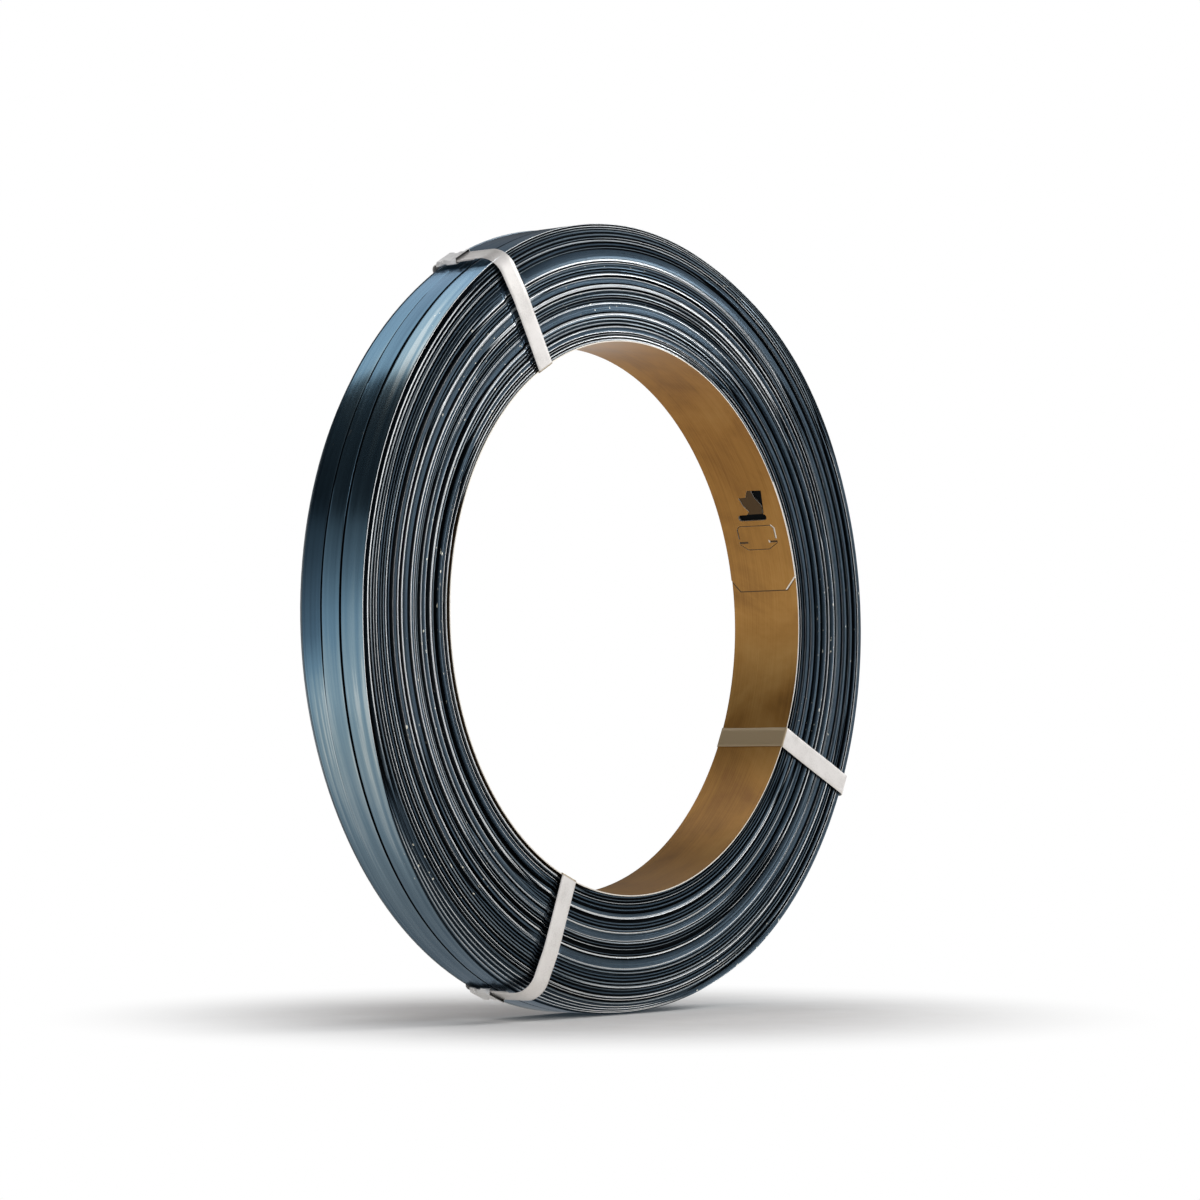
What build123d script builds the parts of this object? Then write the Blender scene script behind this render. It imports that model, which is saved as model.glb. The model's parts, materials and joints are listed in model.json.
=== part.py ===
"""Roll of steel strapping: blued strap wound three lanes wide on a lapped sheet-steel hoop, held by three ties."""

import os
from math import cos, degrees, radians, sin

from build123d import *

# Strap and coil, in millimetres
strap_width = 19.0
lane_count = 3
lane_gap = 0.8
lane_gap_depth = 1.0
coil_build = 86.0
coil_shoulder_width = 7.5
coil_shoulder_rise = 15.5

# Bundles of turns that wander from side to side show as sunk bands on the ends
band_period = 14.0
sunk_band_width = 6.0
sunk_band_depth = 1.8

# Core hoop: one strip of sheet bent round, with its inner end lapped over its outer end
core_bore_radius = 203.0
core_sheet = 0.8
core_overhang = 1.6
core_to_coil_gap = 0.2
lap_start_angle = 70.0
lap_end_angle = 8.3
lap_corner_width = 8.5
lap_corner_length = 9.0

# Hook joint and lanced lock tab in the lap; "axial" counts from the middle plane towards the back
slot_angle = 24.9
slot_axial = -1.2
slot_length = 27.5
slot_height = 5.0
window_axial = -9.0
window_width = 14.0
window_height = 22.5
hook_reach = 22.5
hook_foot_reach = 16.5
hook_height = 17.0
hook_neck = 5.0
tab_drop = 16.5
tab_axial = -1.4
tab_width = 36.0
tab_height = 20.0
tab_corner = 3.0
tab_toe_width = 8.0
tab_toe_height = 4.0
tab_slit = 0.6
tab_notch_width = 8.0
tab_notch_height = 1.6
tab_notch_rise = 5.5

# Ties round the coil's section; their angles run from +X towards the top
tie_angles = (120.0, 248.3, 335.0)
tie_width = 16.0
tie_thickness = 0.5
tie_rim_standoff = 2.6
tie_bore_gap = 0.35
tie_edge_gap = 0.2
tie_front_bend_inside = 15.0
tie_lean_bend_inside = 60.0
tie_back_bend_inside = 5.0
tie_bore_bend_inside = 0.4
tie_lap_gap = 0.1
tie_tail = 15.4

# Crimped seals on the ties, each with one notch a side
seal_length = 18.5
seal_sheet = 0.7
seal_clearance = 0.1
seal_fold = 0.5
seal_notch_length = 5.0
seal_notch_depth = 2.4
seal_notch_setback = 2.4

# Sizes that follow from these
coil_width = lane_count * strap_width + (lane_count - 1) * lane_gap
core_outer_radius = core_bore_radius + core_sheet
coil_inner_radius = core_outer_radius + core_to_coil_gap
coil_outer_radius = coil_inner_radius + coil_build
core_width = coil_width + 2 * core_overhang
band_count = int((coil_build - coil_shoulder_rise) / band_period)

# The roll stands on its rim: its own Z is its axis and points to the front, its own Y points up
centre = Vector(0, 0, coil_outer_radius)
roll_plane = Plane(origin=centre, x_dir=(1, 0, 0), z_dir=(0, -1, 0))
roll_axis = Axis(centre, roll_plane.z_dir)
front = roll_plane.z_dir


def outward(angle):
    """Unit vector from the roll's axis towards its rim at an angle."""
    return roll_plane.x_dir.rotate(Axis((0, 0, 0), front), angle)


def section_plane(angle):
    """Plane of the coil's section at an angle: X runs outward, Y runs to the front."""
    radial = outward(angle)
    return Plane(origin=centre, x_dir=radial, z_dir=radial.cross(front))


def tangent_plane(angle, radius, to_front=0.0):
    """Plane that faces outward at a radius: X runs to the back, Y runs round the roll."""
    radial = outward(angle)
    return Plane(origin=centre + radial * radius + front * to_front, x_dir=-front, z_dir=radial)


def on_circle(radius, angle):
    """Point of a circle about the roll's axis, in the roll's own plane."""
    return (radius * cos(radians(angle)), radius * sin(radians(angle)))


# Coil: the section of the wound strap, turned round the roll's axis
with BuildPart() as strap_coil:
    with BuildSketch(section_plane(0.0)) as coil_section:
        with Locations((coil_inner_radius, 0)):
            Rectangle(coil_build, coil_width, align=(Align.MIN, Align.CENTER))
        rim = coil_section.edges().sort_by(Axis.X)[-1]
        chamfer(rim.vertices(), coil_shoulder_width, coil_shoulder_rise, reference=rim)
        first_lane_edge = (strap_width + lane_gap) * (lane_count - 2) / 2
        for lane in range(lane_count - 1):
            with Locations((coil_outer_radius, first_lane_edge - lane * (strap_width + lane_gap))):
                Polygon(
                    (0, -lane_gap / 2), (0, lane_gap / 2), (-lane_gap_depth, 0),
                    align=None, mode=Mode.SUBTRACT,
                )
        # A bundle that sinks in at the front stands proud at the back
        for band in range(band_count):
            front_band = coil_inner_radius + band * band_period
            back_band = front_band + band_period - sunk_band_width
            with Locations((front_band, coil_width / 2)):
                Polygon(
                    (0, 0), (sunk_band_width, 0), (sunk_band_width, -sunk_band_depth),
                    align=None, mode=Mode.SUBTRACT,
                )
            with Locations((back_band, -coil_width / 2)):
                Polygon(
                    (0, 0), (sunk_band_width, 0), (0, sunk_band_depth),
                    align=None, mode=Mode.SUBTRACT,
                )
    revolve(axis=roll_axis)
strap_coil.part.label = "strap_coil"

# Core hoop: the strip leaves its own circle at the lap and ends one sheet further in
lap_middle_angle = (lap_start_angle + lap_end_angle) / 2
lap_inner_radius = core_bore_radius - core_sheet
wall_end = on_circle(core_bore_radius, lap_end_angle)
wall_start = on_circle(core_bore_radius, lap_start_angle)
with BuildPart() as core_ring:
    with BuildSketch(roll_plane):
        Circle(core_outer_radius)
        with BuildLine():
            ThreePointArc(wall_start, on_circle(core_bore_radius, lap_middle_angle + 180), wall_end)
            Line(wall_end, on_circle(lap_inner_radius, lap_end_angle))
            ThreePointArc(
                on_circle(lap_inner_radius, lap_end_angle),
                on_circle((lap_inner_radius + core_bore_radius) / 2, lap_middle_angle),
                wall_start,
            )
        make_face(mode=Mode.SUBTRACT)
    extrude(amount=core_width / 2, both=True)

    # Cut-off corners of the lap's end, through the inner layer alone
    half_corner = lap_corner_length / 2
    corner_angle = lap_end_angle + degrees(half_corner / core_bore_radius)
    with BuildSketch(tangent_plane(corner_angle, core_bore_radius)):
        for side in (-1, 1):
            Polygon(
                (side * core_width / 2, -half_corner),
                (side * (core_width / 2 - lap_corner_width), -half_corner),
                (side * core_width / 2, half_corner),
                align=None,
            )
    extrude(amount=-2 * core_sheet, mode=Mode.SUBTRACT)

    # Slot and window of the hook joint, through both layers; the outer layer's hook reaches into the window
    window_middle = slot_angle + degrees(window_height / 2 / core_bore_radius)
    with BuildSketch(tangent_plane(window_middle, core_bore_radius)) as hook_outline:
        with Locations((window_axial - window_width / 2, -window_height / 2)):
            Polygon(
                (0, hook_neck), (0, hook_height), (hook_reach, hook_height), (hook_foot_reach, hook_neck),
                align=None,
            )
    extrude(amount=-2 * core_sheet, mode=Mode.SUBTRACT)
    with BuildSketch(tangent_plane(window_middle, core_bore_radius)):
        with Locations((slot_axial, -window_height / 2)):
            SlotOverall(slot_length, slot_height)
        with Locations((window_axial, -window_height / 2)):
            Rectangle(window_width, window_height, align=(Align.CENTER, Align.MIN))
        add(hook_outline.sketch_local, mode=Mode.SUBTRACT)
    extrude(amount=2 * core_sheet, both=True, mode=Mode.SUBTRACT)

    # Lock tab: a slit round its outline and a notch at each foot, through the inner layer
    tab_middle = slot_angle - degrees(tab_drop / core_bore_radius)
    with BuildSketch(tangent_plane(tab_middle, core_bore_radius)) as tab_outline:
        with Locations((tab_axial, 0)):
            Rectangle(tab_width, tab_height)
        fillet(tab_outline.vertices().group_by(Axis.Y)[-1], tab_corner)
        toe = tab_outline.edges().sort_by(Axis.Y)[0]
        chamfer(toe.vertices(), tab_toe_width, tab_toe_height, reference=toe)
        offset(amount=-tab_slit, mode=Mode.SUBTRACT)
        with Locations((tab_axial, tab_notch_rise - tab_height / 2)):
            with GridLocations(tab_width - tab_notch_width, 0, 2, 1):
                Rectangle(tab_notch_width, tab_notch_height)
    extrude(amount=-2 * core_sheet, mode=Mode.SUBTRACT)
core_ring.part.label = "core_ring"

# Ties: a strip led round the coil's section, its end lapped under its start near the back of the rim.
# The values of its route are those of the strip's middle line.
tie_half_span = core_width / 2 + tie_edge_gap + tie_thickness / 2
tie_front_bend_radius = tie_front_bend_inside + tie_thickness / 2
tie_lean_bend_radius = tie_lean_bend_inside + tie_thickness / 2
tie_back_bend_radius = tie_back_bend_inside + tie_thickness / 2
tie_bore_bend_radius = tie_bore_bend_inside + tie_thickness / 2
under_radius = coil_outer_radius + tie_rim_standoff + tie_thickness / 2
over_radius = under_radius + tie_thickness + tie_lap_gap
bore_run_radius = core_bore_radius - tie_bore_gap - tie_thickness / 2
# Drawn tight, the strip leans back from the core's edge, past the inner edge of the coil's shoulder
lean_start_radius = coil_outer_radius - 2 * coil_shoulder_rise
tie_lean = (over_radius - lean_start_radius) * core_overhang / coil_shoulder_rise
seal_back = -(tie_half_span - tie_back_bend_radius)
seal_middle = seal_back + seal_length / 2
seal_inner_height = 2 * tie_thickness + tie_lap_gap + 2 * seal_clearance
seal_inner_width = tie_width + 2 * seal_clearance
seal_outer_width = seal_inner_width + 2 * seal_sheet
seal_radius = (under_radius + over_radius) / 2

for number, angle in enumerate(tie_angles, 1):
    seal_plane = tangent_plane(angle, seal_radius, seal_middle)
    notch_plane = tangent_plane(angle, seal_radius, seal_middle - seal_notch_setback)
    with BuildPart() as tie_strap:
        with BuildLine(section_plane(angle)):
            route = FilletPolyline(
                (over_radius, seal_back),
                (over_radius, tie_half_span - tie_lean),
                (lean_start_radius, tie_half_span),
                (bore_run_radius, tie_half_span),
                (bore_run_radius, -tie_half_span),
                (under_radius, -tie_half_span),
                (under_radius, seal_back + seal_length + tie_tail),
                radius=(
                    tie_front_bend_radius,
                    tie_lean_bend_radius,
                    tie_bore_bend_radius,
                    tie_bore_bend_radius,
                    tie_back_bend_radius,
                ),
            )
        with BuildSketch(Plane(origin=route @ 0, x_dir=outward(angle), z_dir=route % 0)):
            Rectangle(tie_thickness, tie_width)
        sweep()
        with BuildSketch(notch_plane):
            with GridLocations(0, seal_outer_width, 1, 2):
                Rectangle(seal_notch_length, 2 * seal_notch_depth)
        extrude(amount=seal_inner_height, both=True, mode=Mode.SUBTRACT)
    tie_strap.part.label = f"tie_strap_{number}"

    with BuildPart() as tie_seal:
        sleeve_plane = Plane(origin=seal_plane.origin, x_dir=seal_plane.y_dir, z_dir=seal_plane.x_dir)
        with BuildSketch(sleeve_plane) as sleeve:
            Rectangle(seal_outer_width, seal_inner_height + 2 * seal_sheet)
            chamfer(sleeve.vertices(), seal_fold)
            Rectangle(seal_inner_width, seal_inner_height, mode=Mode.SUBTRACT)
        extrude(amount=seal_length / 2, both=True)
        with BuildSketch(notch_plane):
            with GridLocations(0, seal_outer_width, 1, 2):
                Rectangle(seal_notch_length, 2 * seal_notch_depth)
        extrude(amount=2 * seal_inner_height, both=True, mode=Mode.SUBTRACT)
    tie_seal.part.label = f"tie_seal_{number}"

    os.makedirs("parts", exist_ok=True)
    export_step(tie_strap.part, f"parts/tie_strap_{number}.step")
    export_step(tie_seal.part, f"parts/tie_seal_{number}.step")

export_step(strap_coil.part, "parts/strap_coil.step")
export_step(core_ring.part, "parts/core_ring.step")
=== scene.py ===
"""Roll of steel strapping, dressed around its CAD frame: wound turns, core hoop, ties and crimped seals."""

import json
import math

import bmesh
import bpy
import numpy as np
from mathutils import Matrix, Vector
from mathutils.geometry import delaunay_2d_cdt


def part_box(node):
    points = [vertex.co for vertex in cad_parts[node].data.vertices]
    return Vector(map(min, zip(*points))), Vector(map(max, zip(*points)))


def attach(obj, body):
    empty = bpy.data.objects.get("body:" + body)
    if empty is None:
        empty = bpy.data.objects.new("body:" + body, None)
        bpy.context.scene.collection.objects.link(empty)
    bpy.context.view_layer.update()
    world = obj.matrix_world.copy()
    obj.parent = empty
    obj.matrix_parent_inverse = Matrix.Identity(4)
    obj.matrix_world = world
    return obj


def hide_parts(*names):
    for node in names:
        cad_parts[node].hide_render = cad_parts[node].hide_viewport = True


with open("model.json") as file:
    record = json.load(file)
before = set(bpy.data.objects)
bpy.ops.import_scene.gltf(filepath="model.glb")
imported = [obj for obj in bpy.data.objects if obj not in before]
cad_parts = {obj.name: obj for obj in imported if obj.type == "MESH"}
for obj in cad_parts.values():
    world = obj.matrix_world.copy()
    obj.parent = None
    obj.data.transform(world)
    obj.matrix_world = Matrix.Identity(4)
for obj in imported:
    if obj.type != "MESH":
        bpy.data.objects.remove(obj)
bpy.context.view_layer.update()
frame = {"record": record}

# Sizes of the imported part, in millimetres; every shape below is worked out in millimetres
MM = 0.001
coil_low, coil_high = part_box("strap_coil")
core_low, core_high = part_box("core_ring")
core_mount = frame["record"]["mounts"][0]
AXIS_Z = core_mount["pos_m"][2] / MM
RIM = (coil_high.x - coil_low.x) / 2 / MM
COIL_HALF = (coil_high.y - coil_low.y) / 2 / MM
CORE_OUT = (core_high.x - core_low.x) / 2 / MM
CORE_HALF = (core_high.y - core_low.y) / 2 / MM
BORE = core_mount["dims"]["r_mm"]
CORE_GAP = 0.2
COIL_IN = CORE_OUT + CORE_GAP


def polar(radius, angle, axial):
    """Points at a radius and angle (radians, from +X towards the top) about the roll's axis."""
    radius, angle, axial = np.broadcast_arrays(radius, angle, axial)
    return np.stack([radius * np.cos(angle), axial, AXIS_Z + radius * np.sin(angle)], axis=-1)


def step(x):
    """Smooth rise from 0 to 1 as x goes from 0 to 1."""
    x = np.clip(x, 0.0, 1.0)
    return x * x * (3.0 - 2.0 * x)


def wave(rng, angle, first, last):
    """Smooth closed wander round the roll, about -1 to 1, from a few harmonics."""
    total = np.zeros_like(angle)
    for count in range(first, last + 1):
        total = total + rng.uniform(0.5, 1.0) * np.sin(count * angle + rng.uniform(0, math.tau)) / count
    return total * first


def make_piece(name, points, faces, material, nodes, crease=35.0):
    """Mesh object from points in millimetres that rides on the roll and stands for CAD nodes."""
    mesh = bpy.data.meshes.new(name)
    mesh.from_pydata((np.asarray(points) * MM).tolist(), [], faces)
    shell = bmesh.new()
    shell.from_mesh(mesh)
    bmesh.ops.recalc_face_normals(shell, faces=shell.faces)
    shell.to_mesh(mesh)
    shell.free()
    mesh.update()
    mesh.shade_smooth()
    mesh.set_sharp_from_angle(angle=math.radians(crease))
    mesh.materials.append(material)
    piece = bpy.data.objects.new(name, mesh)
    bpy.context.scene.collection.objects.link(piece)
    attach(piece, "root")
    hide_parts(*nodes)
    return piece


def set_attribute(piece, name, values, domain="POINT"):
    """Number for each point or face, for a material to read."""
    attribute = piece.data.attributes.new(name, "FLOAT", domain)
    attribute.data.foreach_set("value", np.asarray(values, np.float32).ravel())


# Materials


def add(tree, kind, inputs=None, **settings):
    """New shader node; an input is a number, a colour or another node's socket."""
    node = tree.nodes.new(kind)
    for key, value in settings.items():
        setattr(node, key, value)
    for key, value in (inputs or {}).items():
        if isinstance(value, bpy.types.NodeSocket):
            tree.links.new(value, node.inputs[key])
        else:
            node.inputs[key].default_value = value
    return node


def maths(tree, operation, first, second=0.0, clamp=False):
    """Result of a maths node."""
    return add(tree, "ShaderNodeMath", {0: first, 1: second}, operation=operation, use_clamp=clamp).outputs[0]


def ramp(tree, factor, stops):
    """Colour from (place, colour or grey) stops."""
    node = add(tree, "ShaderNodeValToRGB", {"Fac": factor})
    while len(node.color_ramp.elements) < len(stops):
        node.color_ramp.elements.new(0.5)
    for element, (place, colour) in zip(node.color_ramp.elements, stops):
        element.position = place
        element.color = (*colour, 1.0) if isinstance(colour, tuple) else (colour, colour, colour, 1.0)
    return node.outputs["Color"]


def mix(tree, factor, first, second):
    """Colour between two colours or sockets."""
    node = add(tree, "ShaderNodeMix", data_type="RGBA")
    for socket, value in ((node.inputs[0], factor), (node.inputs[6], first), (node.inputs[7], second)):
        if isinstance(value, bpy.types.NodeSocket):
            tree.links.new(value, socket)
        else:
            socket.default_value = (*value, 1.0)
    return node.outputs[2]


def map_range(tree, value, low, high, interpolation="LINEAR"):
    """Rise from 0 to 1 as a socket goes from low to high."""
    inputs = {"Value": value, "From Min": low, "From Max": high}
    return add(tree, "ShaderNodeMapRange", inputs, interpolation_type=interpolation).outputs["Result"]


def noise(tree, vector, scale, detail, roughness=0.5, distortion=0.0, w=None):
    """Noise at a vector, in four dimensions where w is given."""
    inputs = {"Vector": vector, "Scale": scale, "Detail": detail}
    inputs |= {"Roughness": roughness, "Distortion": distortion}
    if w is None:
        return add(tree, "ShaderNodeTexNoise", inputs).outputs[0]
    return add(tree, "ShaderNodeTexNoise", inputs | {"W": w}, noise_dimensions="4D").outputs[0]


def attribute(tree, name):
    """Number that a piece carries for its material."""
    return add(tree, "ShaderNodeAttribute", attribute_name=name).outputs["Fac"]


def sum_of(tree, first, first_share, second, second_share):
    """Two sockets, each times its share, added."""
    scaled = maths(tree, "MULTIPLY", first, first_share)
    return maths(tree, "ADD", scaled, maths(tree, "MULTIPLY", second, second_share))


def past(tree, value, threshold, gain):
    """How far a socket is past a threshold, times a gain, from 0 to 1."""
    return maths(tree, "MULTIPLY", maths(tree, "SUBTRACT", value, threshold), gain, clamp=True)


def dress(tree, shader, colour, rough, metallic, relief, strength, distance):
    """Colour, roughness and a fine bump on the shader."""
    bump = add(tree, "ShaderNodeBump", {"Height": relief, "Strength": strength, "Distance": distance})
    tree.links.new(colour, shader.inputs["Base Color"])
    tree.links.new(rough, shader.inputs["Roughness"])
    tree.links.new(bump.outputs[0], shader.inputs["Normal"])
    shader.inputs["Metallic"].default_value = metallic


def new_material(name):
    """Material with an empty Principled shader; gives the tree and the shader."""
    material = bpy.data.materials.new(name)
    material.use_nodes = True
    return material, material.node_tree, material.node_tree.nodes["Principled BSDF"]


def turning_coordinates(tree, round_scale, radial_scale, axial_scale):
    """Coordinates for streaks round the roll: a closed circle, the radius, and the axial place as W."""
    place = add(tree, "ShaderNodeTexCoord").outputs["Object"]
    centred = add(tree, "ShaderNodeVectorMath", {0: place, 1: (0.0, 0.0, AXIS_Z * MM)}, operation="SUBTRACT")
    split = add(tree, "ShaderNodeSeparateXYZ", {0: centred.outputs[0]})
    flat = add(tree, "ShaderNodeCombineXYZ", {"X": split.outputs["X"], "Z": split.outputs["Z"]}).outputs[0]
    radius = add(tree, "ShaderNodeVectorMath", {0: flat}, operation="LENGTH").outputs["Value"]
    heading = add(tree, "ShaderNodeVectorMath", {0: flat}, operation="NORMALIZE").outputs[0]
    turned = add(tree, "ShaderNodeSeparateXYZ", {0: heading})
    vector = add(
        tree,
        "ShaderNodeCombineXYZ",
        {
            "X": maths(tree, "MULTIPLY", turned.outputs["X"], round_scale),
            "Y": maths(tree, "MULTIPLY", radius, radial_scale),
            "Z": maths(tree, "MULTIPLY", turned.outputs["Z"], round_scale),
        },
    ).outputs[0]
    return vector, maths(tree, "MULTIPLY", split.outputs["Y"], axial_scale), place


STRAP_EDGE_STOPS = [
    (0.02, (0.008, 0.009, 0.011)), (0.30, (0.028, 0.044, 0.060)), (0.52, (0.066, 0.098, 0.130)),
    (0.78, (0.190, 0.232, 0.262)), (1.0, (0.82, 0.84, 0.85)),
]
STRAP_FACE_STOPS = [
    (0.20, (0.024, 0.048, 0.074)), (0.52, (0.060, 0.117, 0.172)), (0.80, (0.118, 0.215, 0.295)),
    (0.95, (0.215, 0.320, 0.380)), (1.0, (0.40, 0.48, 0.51)),
]
STRAP_TINT = (0.76, 0.87, 1.0, 1.0)
GAP_SHADE_COLOUR = (0.006, 0.007, 0.008)
CHIP_COLOUR = (0.95, 0.92, 0.80)
CORE_STOPS = [(0.34, (0.230, 0.105, 0.022)), (0.48, (0.400, 0.200, 0.045)), (0.64, (0.510, 0.285, 0.082))]
CORE_SHADE_COLOUR = (0.085, 0.050, 0.020)
CORE_CUT_GLINT_COLOUR = (0.85, 0.80, 0.72)


def strap_material():
    """Blued and waxed strap: streaks along the turns, painted shade in gaps and recesses, pale slit edges,
    and a few chips; the tone each piece carries also holds painted highlights, shading and reflections.
    """
    material, tree, shader = new_material("blued_strap")
    streak_at, streak_w, place = turning_coordinates(tree, 3.0, 900.0, 420.0)
    streak = noise(tree, streak_at, scale=1.0, detail=3.0, roughness=0.6, w=streak_w)
    cloud = noise(tree, place, scale=14.0, detail=4.0, roughness=0.55)
    tone, gap_shade, shine = [attribute(tree, name) for name in ("tone", "gap_shade", "shine")]
    shade = maths(tree, "ADD", tone, maths(tree, "MULTIPLY", maths(tree, "SUBTRACT", streak, 0.5), 0.22))
    shade = maths(tree, "ADD", shade, maths(tree, "MULTIPLY", maths(tree, "SUBTRACT", cloud, 0.5), 0.12))
    colour = mix(tree, shine, ramp(tree, shade, STRAP_EDGE_STOPS), ramp(tree, shade, STRAP_FACE_STOPS))
    # Gaps between turns and sunk turns go near black: painted shade.
    colour = mix(tree, gap_shade, colour, GAP_SHADE_COLOUR)
    chip_at, chip_w, _ = turning_coordinates(tree, 60.0, 500.0, 500.0)
    chip = past(tree, noise(tree, chip_at, scale=1.0, detail=1.0, w=chip_w), threshold=0.712, gain=60.0)
    patch = past(tree, noise(tree, place, scale=9.0, detail=1.0), threshold=0.565, gain=30.0)
    chip = maths(tree, "MULTIPLY", chip, patch)
    chip = maths(tree, "MULTIPLY", chip, maths(tree, "SUBTRACT", 1.0, gap_shade), clamp=True)
    colour = mix(tree, chip, colour, CHIP_COLOUR)
    rough = sum_of(tree, streak, 0.16, cloud, 0.14)
    rough = maths(tree, "ADD", rough, maths(tree, "SUBTRACT", 0.14, maths(tree, "MULTIPLY", shine, 0.11)))
    rough = maths(tree, "ADD", rough, maths(tree, "MULTIPLY", gap_shade, 0.4), clamp=True)
    strength = maths(tree, "SUBTRACT", 0.25, maths(tree, "MULTIPLY", shine, 0.17))
    dress(tree, shader, colour, rough, metallic=0.93, relief=streak, strength=strength, distance=0.00012)
    shader.inputs["Specular Tint"].default_value = STRAP_TINT
    return material


def core_material():
    """Satin sheet with a tan film: fine rolling lines round the hoop, smudges, pale cut edges with painted
    highlight strips, and painted shade where the sheet is covered.
    """
    material, tree, shader = new_material("core_sheet")
    line_at, line_w, place = turning_coordinates(tree, 2.0, 40.0, 1500.0)
    line = noise(tree, line_at, scale=1.0, detail=3.0, roughness=0.6, w=line_w)
    smudge = noise(tree, place, scale=11.0, detail=5.0, roughness=0.6, distortion=0.6)
    colour = ramp(tree, sum_of(tree, smudge, 0.75, line, 0.25), CORE_STOPS)
    # Under the lap, in a thin margin in front of its end, and on the face against the coil: painted shade.
    colour = mix(tree, attribute(tree, "hidden_shade"), colour, CORE_SHADE_COLOUR)
    # Cut walls and an edge strip, pale as bare metal, and small strips by the slits and the lap corner as
    # painted highlight.
    colour = mix(tree, attribute(tree, "cut_glint"), colour, CORE_CUT_GLINT_COLOUR)
    rough = maths(tree, "ADD", sum_of(tree, smudge, 0.22, line, 0.12), 0.20)
    dress(tree, shader, colour, rough, metallic=0.65, relief=line, strength=0.12, distance=0.0001)
    return material


def zinc_material(name, base, dark, shade_tint_colour, scratch_scale):
    """Pale coated strip: soft clouding, fine scratches, darker rubbed patches, and a tint where a piece marks
    it: painted shade, and on the tie painted reflection too.
    """
    material, tree, shader = new_material(name)
    place = add(tree, "ShaderNodeTexCoord").outputs["Object"]
    cloud = noise(tree, place, scale=60.0, detail=4.0, roughness=0.6)
    stretch = {"Vector": place, "Rotation": (0.3, 0.5, 0.2), "Scale": (1.0, 0.12, 1.0)}
    stretched = add(tree, "ShaderNodeMapping", stretch).outputs[0]
    scratch = noise(tree, stretched, scale=scratch_scale, detail=2.0, roughness=0.7)
    shade = sum_of(tree, cloud, 0.6, scratch, 0.4)
    pale = tuple(min(1.0, 1.06 * channel) for channel in base)
    colour = ramp(tree, shade, [(0.34, dark), (0.52, base), (0.75, pale)])
    colour = mix(tree, attribute(tree, "shade_tint"), colour, shade_tint_colour)
    rough = maths(tree, "ADD", maths(tree, "MULTIPLY", shade, 0.25), 0.27)
    dress(tree, shader, colour, rough, metallic=0.25, relief=scratch, strength=0.12, distance=0.0001)
    return material


STRAP = strap_material()
CORE = core_material()
# In the bore the tie turns tan: painted reflection of the core and painted shade. Inside, the seal is near
# black: painted shade.
TIE = zinc_material("tie_strap", (0.86, 0.83, 0.80), (0.72, 0.69, 0.655), (0.40, 0.31, 0.185), 900.0)
SEAL = zinc_material("tie_seal", (0.96, 0.955, 0.945), (0.82, 0.81, 0.79), (0.03, 0.028, 0.025), 700.0)

# Strap coil

TURNS = 155
TURN_PITCH = (RIM - COIL_IN) / TURNS
LANE_TURNS = 8
LEDGE_TURNS = 14
VALLEY = 0.06
TIE_ANGLES = (120.0, 248.3, 335.0)
EVEN_STEPS = 180
# The turns beside the two left ties are pressed in, on the side that faces the left: the sign of the angle
PRESSED = ((TIE_ANGLES[0], 1.0), (TIE_ANGLES[1], -1.0))
CLOSE_STEPS = np.arange(-3.0, 4.3, 0.6)
degrees_round = [np.arange(EVEN_STEPS) * 360.0 / EVEN_STEPS]
for tie_angle, side in PRESSED:
    degrees_round.append(tie_angle + side * CLOSE_STEPS)
ANGLES = np.radians(np.unique(np.round(np.concatenate(degrees_round), 3)))
ROUND_STEPS = len(ANGLES)
PLAIN = np.ones(ROUND_STEPS)

# Bands across the front end from the rim to the core, in millimetres, read at four sides of the roll.
# They're scaled to the coil's build. "smooth" turns lie flush, "fine" ones stagger, and grooves and ridges
# stand out.
BANDS_RIGHT = [
    ("smooth", 4.3), ("groove", 2.2), ("smooth", 3.2), ("groove", 2.8), ("smooth", 4.2), ("groove", 3.4),
    ("smooth", 5.0), ("groove", 2.9), ("smooth", 5.6), ("groove", 2.6), ("smooth", 6.0), ("groove", 2.0),
    ("ridge", 1.2), ("groove", 1.7), ("smooth", 5.0), ("groove", 3.0), ("smooth", 5.6), ("groove", 2.7),
    ("smooth", 4.2), ("groove", 2.4), ("smooth", 4.8), ("groove", 2.0), ("fine", 4.5), ("groove", 1.7),
    ("smooth", 3.0),
]
BANDS_TOP = [
    ("ridge", 0.6), ("groove", 1.2), ("fine", 17.0), ("smooth", 7.5), ("groove", 1.0), ("ridge", 1.0),
    ("fine", 7.0), ("ridge", 1.0), ("groove", 1.6), ("smooth", 4.0), ("groove", 1.2), ("ridge", 2.0),
    ("groove", 1.3), ("ridge", 1.0), ("fine", 8.0), ("smooth", 6.5), ("groove", 1.3), ("ridge", 1.2),
    ("fine", 6.5), ("groove", 1.2), ("ridge", 1.0), ("smooth", 3.0), ("groove", 1.0), ("ridge", 1.0),
    ("groove", 1.0), ("ridge", 1.0), ("groove", 1.0), ("ridge", 1.0),
]
BANDS_LEFT = [
    ("ridge", 0.6), ("groove", 3.4), ("ridge", 1.1), ("groove", 1.3), ("fine", 5.5), ("ridge", 0.8),
    ("fine", 12.0), ("groove", 3.8), ("smooth", 3.2), ("ridge", 1.0), ("groove", 3.2), ("ridge", 1.1),
    ("smooth", 5.5), ("groove", 1.8), ("ridge", 1.1), ("smooth", 3.0), ("fine", 3.5), ("groove", 2.3),
    ("ridge", 1.1), ("smooth", 4.8), ("groove", 2.8), ("ridge", 2.0), ("fine", 3.5), ("groove", 2.4),
    ("smooth", 3.5), ("fine", 4.5), ("ridge", 1.1), ("groove", 1.6),
]
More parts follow.
